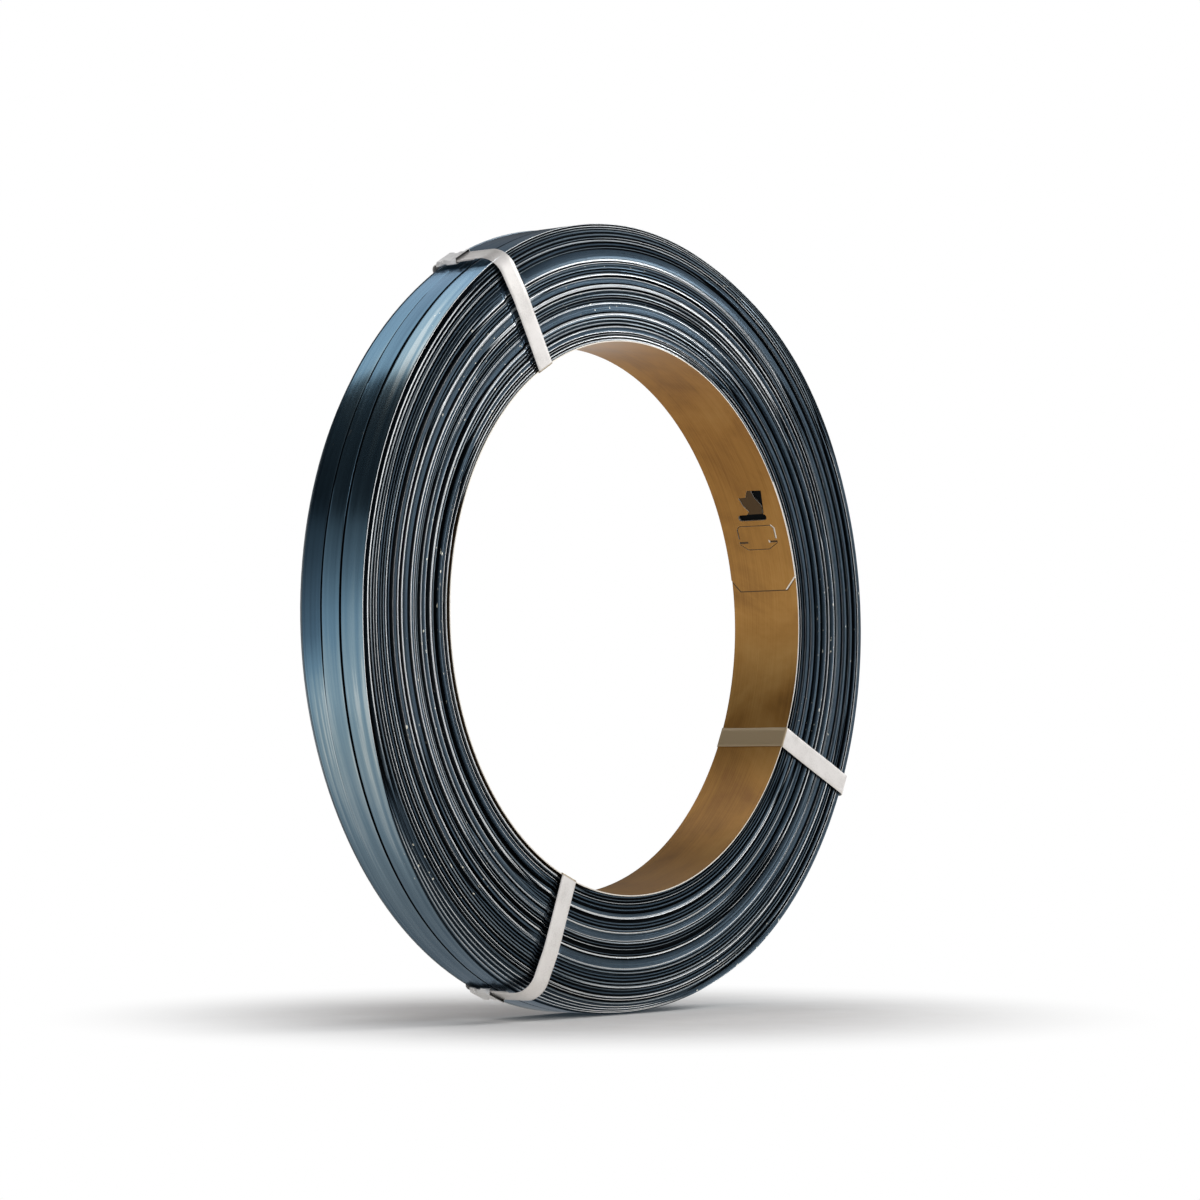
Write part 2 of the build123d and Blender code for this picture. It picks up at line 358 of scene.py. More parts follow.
BANDS_BOTTOM = [
    ("smooth", 5.0), ("groove", 1.2), ("fine", 13.0), ("ridge", 1.5), ("fine", 12.0), ("smooth", 7.0),
    ("fine", 4.5), ("groove", 2.3), ("fine", 7.0), ("smooth", 5.5), ("ridge", 1.0), ("fine", 7.7),
    ("groove", 1.4), ("ridge", 1.2), ("smooth", 3.2), ("groove", 1.0), ("fine", 11.5),
]
STATIONS_FRONT = [(0.0, BANDS_RIGHT), (90.0, BANDS_TOP), (185.0, BANDS_LEFT), (275.0, BANDS_BOTTOM)]
# The back end isn't seen in the photograph: the same bands at other places
STATIONS_BACK = [(30.0, BANDS_BOTTOM), (115.0, BANDS_RIGHT), (210.0, BANDS_TOP), (300.0, BANDS_LEFT)]
STATION_FADE = 7.0
LEVEL_LOW, LEVEL_HIGH = -4.2, 1.1
# Sunk turns and grooves take a near-black tone: painted shade in the recesses.
SUNK_SHADE_TONE = 0.03
FINE_TONE = 0.4
# Proud turns in the fine lines take tones up to near white: partly bare slit edges, partly painted highlight.
LINE_TONES = [0.46, 0.56, 0.66, 0.74, 0.82, 0.90, 1.0]
# A smooth band's tone rises from one side to the other, with a pale glint at its lighter edge: painted
# shading and painted highlight of a rounded band.
SMOOTH_TONE, SMOOTH_PAINTED_SHADING, SMOOTH_GLINT = 0.51, 0.14, 0.36
# Ridges are near white: partly bare slit edges, partly painted highlight.
RIDGE_TONE = 0.98


def fine_lines(rng):
    """Stagger of single turns that runs on all round: level of each turn's edge, and its tone."""
    level = np.zeros(TURNS)
    tone = np.zeros(TURNS)
    at = 0
    while at < TURNS:
        sunk = 2 if rng.random() < 0.6 else 3
        level[at:at + sunk] = -rng.uniform(1.8, 2.8)
        tone[at:at + sunk] = SUNK_SHADE_TONE
        at += sunk
        proud = 1 if rng.random() < 0.35 else 2
        level[at:at + proud] = rng.uniform(-0.35, 0.2)
        tone[at:at + proud] = rng.choice(LINE_TONES)
        at += proud
    return level, tone


def read_bands(bands, rng):
    """Level of each turn's edge in millimetres, its tone, and how far it takes part in the fine lines."""
    level = np.zeros(TURNS)
    tone = np.zeros(TURNS)
    fine = np.zeros(TURNS)
    scale = TURNS / sum(width for _, width in bands)
    start = 0.0
    for kind, width in bands:
        end = start + width * scale
        first, last = int(round(start)), int(round(end))
        start = end
        count = last - first
        if kind == "smooth":
            off_middle = 2.0 * (np.arange(count) + 0.5) / max(count, 1) - 1.0
            crown = min(1.5, 0.19 * width)
            level[first:last] = crown * (1.0 - off_middle ** 2) - 0.6 * crown + rng.normal(0, 0.012, count)
            # Tone across the band: painted shading, with a painted highlight near one edge.
            slope = rng.choice([-1.0, 1.0]) * off_middle
            glint = SMOOTH_GLINT * (slope > 0.70)
            tone[first:last] = SMOOTH_TONE + SMOOTH_PAINTED_SHADING * slope + glint + rng.normal(0, 0.04, count)
            fine[first:last] = 0.04
        elif kind == "groove":
            level[first:last] = -rng.uniform(2.6, 3.8) + rng.normal(0, 0.2, count)
            tone[first:last] = SUNK_SHADE_TONE
        elif kind == "ridge":
            level[first:last] = rng.uniform(0.3, 0.8) + rng.normal(0, 0.03, count)
            tone[first:last] = RIDGE_TONE + rng.normal(0, 0.06, count)
        else:
            tone[first:last] = FINE_TONE
            fine[first:last] = 1.0
    return level, tone, fine


def coil_end(stations, seed, recess, slide):
    """Edge level and tone of every turn round one end, the painted shade of the turns that are sunk, and its
    slid ledges.
    """
    rng = np.random.default_rng(seed)
    degrees = np.degrees(ANGLES)
    switch = np.cumsum(rng.integers(5, 12, TURNS))
    switch = switch[switch < TURNS]
    shift = np.zeros(TURNS)
    for first, last in zip([0, *switch], [*switch, TURNS]):
        shift[first:last] = rng.uniform(-26, 26)
    shift = shift + rng.uniform(-2, 2, TURNS)
    place = degrees[None, :] - shift[:, None]
    level, tone, fine = [np.zeros((TURNS, ROUND_STEPS)) for _ in range(3)]
    for index, (angle, bands) in enumerate(stations):
        before = stations[index - 1][0]
        after = stations[(index + 1) % len(stations)][0]
        enter = angle - ((angle - before) % 360) / 2
        leave = angle + ((after - angle) % 360) / 2
        since_enter = (place - enter + 180) % 360 - 180
        since_leave = (place - leave + 180) % 360 - 180
        share = step(since_enter / (2 * STATION_FADE) + 0.5)
        share = share * (1.0 - step(since_leave / (2 * STATION_FADE) + 0.5))
        for total, values in zip((level, tone, fine), read_bands(bands, rng)):
            total += share * values[:, None]
    line_level, line_tone = fine_lines(rng)
    for index in range(TURNS):
        swell = np.clip(0.85 + 0.35 * wave(rng, ANGLES, 2, 5), 0.25, 1.3)
        level[index] += fine[index] * line_level[index] * swell + 0.05 * wave(rng, ANGLES, 1, 4)
        tone[index] += fine[index] * ((line_tone[index] - FINE_TONE) * swell)
    level = np.clip(level, LEVEL_LOW, LEVEL_HIGH)
    ledge = step((slide - 0.8) / 2.5) * (np.arange(TURNS) < LEDGE_TURNS)[:, None]
    level = level * (1 - ledge)
    return level - recess, np.clip(tone, 0, 1), step((-level - 0.7) / 0.9), ledge


def end_profile(first, last, end, sign):
    """Rows over one end of some turns, from the rim inwards: radius, axial place, tone, painted gap shade and
    shine.
    """
    level, tone, sunk_shade, ledge = end
    rows = []
    for turn in range(first, last):
        top = RIM - turn * TURN_PITCH
        above = level[turn - 1] if turn > first else level[turn]
        low = np.minimum(level[turn], above)
        # Valley rows between turns are darker, most where the levels step: painted shadow lines.
        valley_shade = 0.3 + 0.6 * step((abs(level[turn] - above) - 0.3) / 0.5)
        valley_top = top - (0.01 if turn == first else 0.0)
        edge_tone = tone[turn]
        # On slid ledges the shelf in front of a turn takes painted shadow and an open edge a painted
        # highlight.
        if turn < LEDGE_TURNS:
            open_edge = step((level[turn] - low - 0.5) / 0.9)
            closed = ledge[turn] * (1 - open_edge)
            shelf = low + np.minimum(1.7, 0.5 * (level[turn] - low))
            shelf_tone = tone[turn] * (1 - ledge[turn]) + 0.5 * ledge[turn]
            edge_tone = tone[turn] * (1 - ledge[turn]) + ledge[turn] * (0.2 + 0.78 * open_edge)
            valley_tone = 0.5 * tone[turn] * (1 - closed) + edge_tone * closed
            rows.append((valley_top, low - VALLEY * (1 - closed), valley_tone, valley_shade * (1 - closed)))
            rows.append((top - 0.03, shelf, shelf_tone, 0.5 * (1 - open_edge) * (1 - closed)))
        else:
            rows.append((valley_top, low - VALLEY, 0.5 * tone[turn], valley_shade))
        for share in (0.2, 0.8):
            rows.append((top - share * TURN_PITCH, level[turn], edge_tone, sunk_shade[turn]))
    # The last valley row goes fully dark: painted shade.
    rows.append((RIM - last * TURN_PITCH + 0.01, level[last - 1] - VALLEY, 0.5 * tone[last - 1], PLAIN))
    return [
        (radius * PLAIN, sign * (COIL_HALF + height), row_tone, gap_shade, 0 * PLAIN)
        for radius, height, row_tone, gap_shade in rows
    ]


def ring_piece(name, rows):
    """Closed ring from rows of (radius, axial place, tone, painted gap shade, shine) that go once round its
    section.
    """
    count = len(rows)
    radius = np.array([row[0] for row in rows])
    axial = np.array([row[1] for row in rows])
    points = polar(radius, ANGLES[None, :], axial).reshape(-1, 3)
    index = np.arange(count * ROUND_STEPS).reshape(count, ROUND_STEPS)
    below = np.roll(index, -1, axis=0)
    faces = np.stack([index, np.roll(index, -1, axis=1), np.roll(below, -1, axis=1), below], axis=-1)
    piece = make_piece(name, points, faces.reshape(-1, 4).tolist(), STRAP, ["strap_coil"])
    for place, label in enumerate(("tone", "gap_shade", "shine"), 2):
        set_attribute(piece, label, np.array([row[place] for row in rows]))


CURVE_STEP = 0.5
CURVE_KERNEL = 21


def round_curve(marks):
    """Smooth closed curve round the roll through (degrees, value) marks."""
    places = np.array([mark[0] for mark in marks], float)
    values = np.array([mark[1] for mark in marks], float)
    fine_places = np.arange(0.0, 360.0, CURVE_STEP)
    line = np.interp(fine_places, places, values, period=360.0)
    kernel = np.hanning(CURVE_KERNEL)
    margin = CURVE_KERNEL - 1
    line = np.convolve(np.concatenate([line[-margin:], line, line[:margin]]), kernel / kernel.sum(), "same")
    return np.interp(np.degrees(ANGLES), fine_places, line[margin:-margin], period=360.0)


# The coil's shoulder: at the top and the lower left of the front its outer third lies further back, and at
# the lower left the outermost turns have slid back below that. Millimetres.
SHOULDER_DEPTH = 32.0
turn_depth = (np.arange(TURNS) * TURN_PITCH)[:, None]
shoulder_share = np.clip(1.0 - turn_depth / SHOULDER_DEPTH, 0.0, 1.0) ** 2
SLIDE_GROUPS = [(2, 1.0), (2, 0.70), (3, 0.46), (3, 0.27), (4, 0.12)]
slide_share = np.zeros((TURNS, 1))
slid = 0
for group_turns, group_share in SLIDE_GROUPS:
    slide_share[slid:slid + group_turns] = group_share
    slid += group_turns
shoulder_front = round_curve([
    (0, 0.3), (45, 0.3), (55, 1.8), (62, 4), (72, 6), (100, 6.5), (118, 6), (127, 3), (140, 0.8), (165, 0.3),
    (185, 0.8), (195, 2.5), (210, 5), (230, 7), (262, 7), (280, 5.5), (290, 3.6), (300, 0.9), (310, 0.3),
])
slide_front = round_curve([
    (60, 0), (185, 0.3), (195, 1), (205, 2), (220, 5.5), (230, 9.5), (240, 13.5), (250, 15.5), (262, 13),
    (278, 5), (290, 0.8), (300, 0),
])
shoulder_back = round_curve([
    (0, 1.5), (60, 1.5), (90, 0.8), (110, 0.3), (115, 0.8), (123, 4.0), (130, 3.8), (150, 1.8), (170, 0.8),
    (190, 0.3), (245, 0.3), (280, 1.2), (320, 1.5),
])
PRESS_DEPTH = 2.7
press_share = step((turn_depth - 9.0) / 14.0) * (1.0 - 0.5 * step((turn_depth - 62.0) / 22.0))
pressed_in = np.zeros(ROUND_STEPS)
for tie_angle, side in PRESSED:
    aside = (np.degrees(ANGLES) - tie_angle) * side
    pressed_in += PRESS_DEPTH * step((aside + 2.4) / 1.2) * (1.0 - step((aside - 1.8) / 1.6))
front_recess = shoulder_front * shoulder_share + slide_front * slide_share + pressed_in * press_share
back_recess = shoulder_back * shoulder_share
front_end = coil_end(STATIONS_FRONT, 11, front_recess, slide_front)
back_end = coil_end(STATIONS_BACK, 23, back_recess, 0 * ANGLES)
ZONE_BREAKS = [LANE_TURNS, 57, 106, TURNS]
for number, (first, last) in enumerate(zip(ZONE_BREAKS, ZONE_BREAKS[1:]), 1):
    rows = end_profile(first, last, front_end, -1) + end_profile(first, last, back_end, 1)[::-1]
    ring_piece(f"strap_turns_{number}", rows)

# The outermost turns are three lanes side by side that wander over the rim, with gaps that open and close
lane_rng = np.random.default_rng(5)
edge_front = round_curve([
    (0, -8), (60, -9), (100, -6), (123, -5.6), (135, -6.8), (150, -6.6), (165, -7.2), (180, -8), (190, -7),
    (200, -5), (210, -2.5), (220, 0.5), (230, 3.5), (240, 6.5), (250, 8.5), (262, 8), (290, 2), (320, -5),
])
edge_back = round_curve([
    (0, 11), (60, 10), (130, 10), (185, 10), (195, 12), (210, 15), (230, 20), (245, 24), (262, 23.5),
    (290, 17), (320, 12.5),
])
gap_front = 1.9 + 0.25 * wave(lane_rng, ANGLES, 1, 4)
gap_back = round_curve([
    (0, 0.5), (90, 0.3), (140, 0.15), (152, 1.5), (185, 1.7), (194, 0.12), (250, 0.1), (300, 0.4),
])
lane_inner = RIM - LANE_TURNS * TURN_PITCH + 0.02
SURFACE_STEPS = 13
LANE_SHINE = round_curve([(0, 1.0), (200, 1.0), (222, 0.45), (240, 0.15), (275, 0.15), (300, 1.0)])
# Tone of each lane round the rim: painted reflections, pale where lamps or a bright surround would be
# mirrored and dark where a dark surround would be, with sharp edges between.
LANE_REFLECTION_TONES = {
    "front": round_curve([
        (60, 0.62), (118, 0.62), (128, 0.80), (136, 0.91), (144, 0.94), (151, 0.86), (162, 0.72), (174, 0.70),
        (184, 0.82), (191, 0.93), (202, 0.90), (212, 0.78), (224, 0.62), (250, 0.54), (300, 0.62),
    ]),
    "middle": round_curve([
        (60, 0.58), (118, 0.48), (130, 0.54), (142, 0.73), (150, 0.80), (165, 0.66), (180, 0.72), (190, 0.91),
        (202, 0.90), (212, 0.81), (225, 0.66), (240, 0.54), (300, 0.58),
    ]),
    "back": round_curve([
        (60, 0.58), (118, 0.48), (130, 0.66), (142, 0.82), (152, 0.84), (160, 0.62), (172, 0.38), (183, 0.40),
        (190, 0.91), (202, 0.91), (212, 0.80), (226, 0.60), (240, 0.48), (300, 0.58),
    ]),
}


def lane_surface(low, high, drop, tone):
    """Rows across a lane's outer face from its low to its high axial edge, slightly crowned and streaked, a
    little lighter along its low edge as painted highlight.
    """
    rows = []
    for across in np.linspace(0.0, 1.0, SURFACE_STEPS):
        lift = 0.07 * (1 - (2 * across - 1) ** 2) + 0.012 * wave(lane_rng, ANGLES, 2, 5)
        radius = np.minimum(RIM - 0.22 - drop + lift, RIM)
        streak = tone + 0.03 * wave(lane_rng, ANGLES, 1, 3) + lane_rng.normal(0, 0.035)
        # A lighter strip along the low edge: painted highlight.
        rim_tone = streak + 0.08 * (across < 0.1)
        rows.append((radius, low + (high - low) * (0.012 + 0.976 * across), rim_tone, 0 * PLAIN, LANE_SHINE))
    return rows


def flat_side(axial, drop, outwards):
    """Rows down the plain side of a lane, at its gap, under a pale slit edge, darkening downwards to black as
    painted shade.
    """
    rows = [
        ((RIM - 0.36 - drop) * PLAIN, axial, 0.3 * PLAIN, 0 * PLAIN, 0 * PLAIN),
        ((RIM - 0.75 - drop) * PLAIN, axial, 0.2 * PLAIN, PLAIN, 0 * PLAIN),
        (lane_inner * PLAIN, axial, 0.05 * PLAIN, PLAIN, 0 * PLAIN),
    ]
    return rows[::-1] if outwards else rows


drop_middle = 0.12 + 0.05 * wave(lane_rng, ANGLES, 1, 2)
drop_back = 0.30 + 0.08 * wave(lane_rng, ANGLES, 1, 2)
front_rows = end_profile(0, LANE_TURNS, front_end, -1)
back_rows = end_profile(0, LANE_TURNS, back_end, 1)
# The outermost row at each end of the lanes is near white: painted highlight along the rim's edges.
LIP = 0.30
front_rows[0] = ((RIM - LIP) * PLAIN, front_rows[0][1] + 0.05, 0.97 * PLAIN, 0 * PLAIN, 0 * PLAIN)
back_rows[0] = ((RIM - LIP) * PLAIN - drop_back, back_rows[0][1] - 0.05, 0.9 * PLAIN, 0 * PLAIN, 0 * PLAIN)
front_high = edge_front - gap_front / 2
middle_low, middle_high = edge_front + gap_front / 2, edge_back - gap_back / 2
back_low = edge_back + gap_back / 2
lanes = {
    "front": front_rows + flat_side(front_high, 0.0, True)
    + lane_surface(front_rows[0][1], front_high, 0.0, LANE_REFLECTION_TONES["front"])[::-1],
    "middle": flat_side(middle_low, drop_middle, False) + flat_side(middle_high, drop_middle, True)
    + lane_surface(middle_low, middle_high, drop_middle, LANE_REFLECTION_TONES["middle"])[::-1],
    "back": flat_side(back_low, drop_back, False) + back_rows[::-1]
    + lane_surface(back_low, back_rows[0][1], drop_back, LANE_REFLECTION_TONES["back"])[::-1],
}
for lane, rows in lanes.items():
    ring_piece(f"strap_lane_{lane}", rows)

# Core hoop

SHEET = 0.8
EDGE_STRIP = 0.6
LAP_END = 8.3
LAP_FLAT = 34.0
LAP_START = 70.0
OUTER_END = 360.0 + 33.0
LAP_CORNER_WIDTH = 8.5
LAP_CORNER_LENGTH = 9.0
SLOT_ANGLE = 24.9
PER_DEGREE = math.radians(1.0) * BORE


def inside(points, outline):
    """True for each point that lies within a closed outline."""
    x, y = points[:, 0], points[:, 1]
    result = np.zeros(len(points), bool)
    for (x1, y1), (x2, y2) in zip(outline, outline[1:] + outline[:1]):
        crosses = (y1 > y) != (y2 > y)
        result ^= crosses & (x < (x2 - x1) * (y - y1) / (y2 - y1 if y2 != y1 else 1e-9) + x1)
    return result


def at_slot(points, angle):
    """Outline about the hook slot's middle (to the back, up), as places on the unrolled strip."""
    return [(angle * PER_DEGREE + up, back) for back, up in points]


# Hook joint and lock tab, seen from inside the hoop: millimetres to the back and up from the slot's middle
SLOT_END = 2.5
SLOT_FRONT, SLOT_BACK = -14.9, 12.4
slot_arc = [math.radians(a) for a in (-90, -60, -30, 0, 30, 60, 90)]
slot_back_end = [(SLOT_BACK - SLOT_END + SLOT_END * math.cos(a), SLOT_END * math.sin(a)) for a in slot_arc]
slot_front_end = [(SLOT_FRONT + SLOT_END - SLOT_END * math.cos(a), -SLOT_END * math.sin(a)) for a in slot_arc]
hook_front = [(-17.3, 22.6), (-13.4, 3.6)]
hook_back = [(3.5, 2.5), (0.6, 4.9), (4.7, 10.2), (6.7, 16.9), (-0.3, 17.3), (-3.9, 23.0)]
plate_back = [(-11.5, 2.5), (-12.5, 9.5), (-7.4, 16.9), (-6.9, 22.8)]
hook_opening = slot_back_end + hook_back + hook_front + slot_front_end
hook_plate_cut = slot_back_end + plate_back + hook_front + slot_front_end
SLIT = 0.6
TAB_FRONT, TAB_BACK = -18.9, 16.9
TAB_TOP, TAB_TOE = -6.6, -26.4
tab_slit_top = [
    (TAB_FRONT, -17.8), (TAB_FRONT, -9.2), (-16.2, TAB_TOP), (14.2, TAB_TOP), (TAB_BACK, -9.2),
    (TAB_BACK, -17.3), (TAB_BACK - 1.1, -17.3), (TAB_BACK - 1.0, -9.5), (14.0, TAB_TOP - SLIT),
    (-16.0, TAB_TOP - SLIT), (TAB_FRONT + SLIT, -9.4), (TAB_FRONT + SLIT, -17.8),
]
tab_slit_toe = [
    (-19.6, -21.6), (-11.0, TAB_TOE), (9.6, TAB_TOE), (16.6, -21.8), (16.6, -21.8 + SLIT),
    (9.5, TAB_TOE + SLIT), (-10.9, TAB_TOE + SLIT), (-19.6, -21.6 + SLIT),
]
tab_notch_front = [(-19.9, -21.0), (-12.7, -21.0), (-12.7, -19.4), (-19.9, -19.4)]
tab_notch_back = [(8.4, -21.0), (16.8, -21.0), (16.8, -19.4), (8.4, -19.4)]

strip_start = LAP_END * PER_DEGREE
strip_end = OUTER_END * PER_DEGREE
corner_start = strip_start + LAP_CORNER_LENGTH
corner_side = CORE_HALF - LAP_CORNER_WIDTH
outline = [
    (strip_start, -corner_side), (corner_start, -CORE_HALF), (strip_end, -CORE_HALF), (strip_end, CORE_HALF),
    (corner_start, CORE_HALF), (strip_start, corner_side),
]
cut_outs = (hook_opening, tab_slit_top, tab_slit_toe, tab_notch_front, tab_notch_back)
holes = [at_slot(points, SLOT_ANGLE) for points in cut_outs]
holes.append(at_slot(hook_plate_cut, SLOT_ANGLE + 360.0))

# Where the inner end of the sheet lies on the outer one, with a narrow margin in front of it; both are
# painted dark as shade
LAP_MARGIN = 0.9
BACK_MARGIN = 1.3
lap_place = strip_start + 360.0 * PER_DEGREE - LAP_MARGIN
lap_line = [
    (lap_place + LAP_MARGIN + LAP_CORNER_LENGTH, -CORE_HALF), (lap_place, -corner_side),
    (lap_place, corner_side + BACK_MARGIN), (lap_place + LAP_CORNER_LENGTH - BACK_MARGIN, CORE_HALF),
]
lapped = lap_line + [(strip_end + 1.0, CORE_HALF + 1.0), (strip_end + 1.0, -CORE_HALF - 1.0)]

# Painted highlights: pale strips along the lock tab's front corner, at the end of its notch, and at the front
# corner of the lap
GLINT_WIDTH = 1.1
tab_glint = [
    (TAB_FRONT, -17.8), (TAB_FRONT, -9.2), (-16.2, TAB_TOP), (-16.2 - GLINT_WIDTH / 2, TAB_TOP + GLINT_WIDTH / 2),
    (TAB_FRONT - GLINT_WIDTH, -9.2), (TAB_FRONT - GLINT_WIDTH, -17.8),
]
notch_glint = [(-12.7, -21.0), (-12.7, -19.4), (-12.7 + GLINT_WIDTH, -18.6), (-12.7 + GLINT_WIDTH, -21.0)]
lap_glint = [
    (strip_start, -corner_side), (corner_start, -CORE_HALF), (corner_start + 1.4 * GLINT_WIDTH, -CORE_HALF),
    (strip_start, -corner_side + 1.3 * GLINT_WIDTH),
]
glint_strips = [at_slot(tab_glint, SLOT_ANGLE), at_slot(notch_glint, SLOT_ANGLE), lap_glint]

sites = []
borders = []
for loop in [outline] + holes + glint_strips:
    start = len(sites)
    sites += loop
    borders += [(start + i, start + (i + 1) % len(loop)) for i in range(len(loop))]
borders += [(len(sites) + i, len(sites) + i + 1) for i in range(len(lap_line) - 1)]
sites += lap_line
rows_across = (-CORE_HALF, -CORE_HALF + EDGE_STRIP, -20, -10, 0, 10, 20, CORE_HALF - EDGE_STRIP, CORE_HALF)
for along in np.arange(strip_start + 1.5 * PER_DEGREE, strip_end - 0.5, 2 * PER_DEGREE):
    sites += [(along, across) for across in rows_across]
cdt = delaunay_2d_cdt([Vector(site) for site in sites], borders, [], 0, 1e-4)
strip = np.array([tuple(v) for v in cdt[0]])
triangles = np.array([tuple(face) for face in cdt[2]])
middle = strip[triangles].mean(axis=1)
kept = inside(middle, outline)
for hole in holes:
    kept &= ~inside(middle, hole)
triangles, middle = triangles[kept], middle[kept]
used = np.unique(triangles)
renumber = np.full(len(strip), -1)
renumber[used] = np.arange(len(used))
strip, triangles = strip[used], renumber[triangles]


def hoop_radius(along):
    """Radius of the sheet's middle at a place along the strip: its inner end laps over its outer end."""
    degrees_along = along / PER_DEGREE
    return BORE + SHEET / 2 - (SHEET + 0.06) * (1 - step((degrees_along - LAP_FLAT) / (LAP_START - LAP_FLAT)))


edges = dict.fromkeys(pair for a, b, c in triangles.tolist() for pair in ((a, b), (b, c), (c, a)))
open_edges = [pair for pair in edges if pair[::-1] not in edges]
angle_along = strip[:, 0] / PER_DEGREE * math.radians(1.0)
mid_radius = hoop_radius(strip[:, 0])
inner_points = polar(mid_radius - SHEET / 2, angle_along, strip[:, 1])
outer_points = polar(mid_radius + SHEET / 2, angle_along, strip[:, 1])
size = len(strip)
hoop_faces = [(c, b, a) for a, b, c in triangles.tolist()]
hoop_faces += [(a + size, b + size, c + size) for a, b, c in triangles.tolist()]
hoop_faces += [(a, b, b + size, a + size) for a, b in open_edges]
hoop_points = np.vstack([inner_points, outer_points])
hoop = make_piece("core_hoop", hoop_points, hoop_faces, CORE, ["core_ring"], 40.0)
# Pale: the cut walls, the outer face's edge strips, and the painted highlight strips.
glinting = np.any([inside(middle, glint_strip) for glint_strip in glint_strips], axis=0)
bright_edge = abs(middle[:, 1]) > CORE_HALF - EDGE_STRIP
set_attribute(hoop, "cut_glint", np.concatenate([glinting, bright_edge, np.ones(len(open_edges))]), "FACE")
# Dark: under the lap and its margin, and the outer face away from its edges: painted shade.
lap_shade = inside(middle, lapped)
set_attribute(hoop, "hidden_shade", np.concatenate([lap_shade, ~bright_edge, np.zeros(len(open_edges))]), "FACE")

# Ties and seals

TIE_WIDTH = 16.0
TIE_SHEET = 0.5
TIE_STANDOFF = 2.6
TIE_EDGE_GAP = 0.2
TIE_BORE_GAP = 0.35
FRONT_BEND = 15.25
LEAN_BEND = 60.25
SQUARE_BEND = 5.25
SQUARE_TIE = 3
BACK_BEND = 5.25
BORE_BEND = 0.65
TIE_LAP_GAP = 0.1
TIE_TAIL = 15.4
SEAL_LENGTH = 18.5
SEAL_SHEET = 0.7
SEAL_CLEARANCE = 0.1
NOTCH_LENGTH = 5.0
NOTCH_DEPTH = 2.4
NOTCH_SETBACK = 2.4
SHOULDER_RISE = 15.5
CORE_OVERHANG = CORE_HALF - COIL_HALF
TIE_SPAN = CORE_HALF + TIE_EDGE_GAP + TIE_SHEET / 2
UNDER = RIM + TIE_STANDOFF + TIE_SHEET / 2
OVER = UNDER + TIE_SHEET + TIE_LAP_GAP
BORE_RUN = BORE - TIE_BORE_GAP - TIE_SHEET / 2
SEAL_BACK = -(TIE_SPAN - BACK_BEND)
SEAL_FRONT = SEAL_BACK + SEAL_LENGTH
LEAN_START = RIM - 2 * SHOULDER_RISE
MOUTH_LENGTH = 6.0
MOUTH_LIFT = 1.6
NOTCH_BLEND = 0.8
LEAN = (OVER - LEAN_START) * CORE_OVERHANG / SHOULDER_RISE
TAIL_SKEW = (2.0, -2.0, 1.2)


def rounded_route(corners, bends, spacing):
    """Points along a line through corners, each rounded by its bend radius."""
    corners = [np.array(c, float) for c in corners]
    points = [corners[0]]
    for before, corner, after, bend in zip(corners, corners[1:], corners[2:], bends):
        into = (corner - before) / np.linalg.norm(corner - before)
        out = (after - corner) / np.linalg.norm(after - corner)
        turn = math.acos(np.clip(into @ out, -1, 1))
        reach = bend * math.tan(turn / 2)
        normal = (out - into) / np.linalg.norm(out - into)
        hub = corner + normal * bend / math.cos(turn / 2)
        first = corner - into * reach
        run = np.linalg.norm(first - points[-1])
        steps = max(1, int(run / spacing))
        points += [points[-1] + (first - points[-1]) * i / steps for i in range(1, steps + 1)]
        arm = first - hub
        side = np.sign(into[0] * out[1] - into[1] * out[0])
        arc_steps = max(4, int(math.degrees(turn) / 7.5))
        for i in range(1, arc_steps + 1):
            swing = side * turn * i / arc_steps
            points.append(hub + np.array([
                arm[0] * math.cos(swing) - arm[1] * math.sin(swing),
                arm[0] * math.sin(swing) + arm[1] * math.cos(swing),
            ]))
    last = corners[-1]
    start = points[-1]
    steps = max(1, int(np.linalg.norm(last - start) / spacing))
    points += [start + (last - start) * i / steps for i in range(1, steps + 1)]
    return np.array(points)


def at_tie(angle, radial, front, round_about):
    """Points in a tie's own directions: outward, to the front, and sideways round the roll."""
    turned = math.radians(angle)
    x = radial * math.cos(turned) - round_about * math.sin(turned)
    z = radial * math.sin(turned) + round_about * math.cos(turned)
    return np.stack(np.broadcast_arrays(x, -front, AXIS_Z + z), axis=-1)


def notch_share(front):
    """1 where the seal and the strap in it are notched at their sides, else 0."""
    middle_front = (SEAL_BACK + SEAL_FRONT) / 2 - NOTCH_SETBACK
    return step((NOTCH_LENGTH / 2 + NOTCH_BLEND / 2 - abs(front - middle_front)) / NOTCH_BLEND)


def tail_skew(number, front):
    """How far the under layer of a tie lies to one side, from its back bend to its tip."""
    tip = SEAL_FRONT + TIE_TAIL
    return TAIL_SKEW[number - 1] * np.clip((tip - front) / (tip - SEAL_BACK), 0.0, 1.0)


def tube_faces(rings, count):
    """Faces of a closed tube through rings of points, with flat ends."""
    faces = []
    for ring in range(rings - 1):
        for i in range(count):
            j = (i + 1) % count
            faces.append((ring * count + i, ring * count + j, (ring + 1) * count + j, (ring + 1) * count + i))
    faces.append(tuple(range(count))[::-1])
    faces.append(tuple((rings - 1) * count + i for i in range(count)))
    return faces


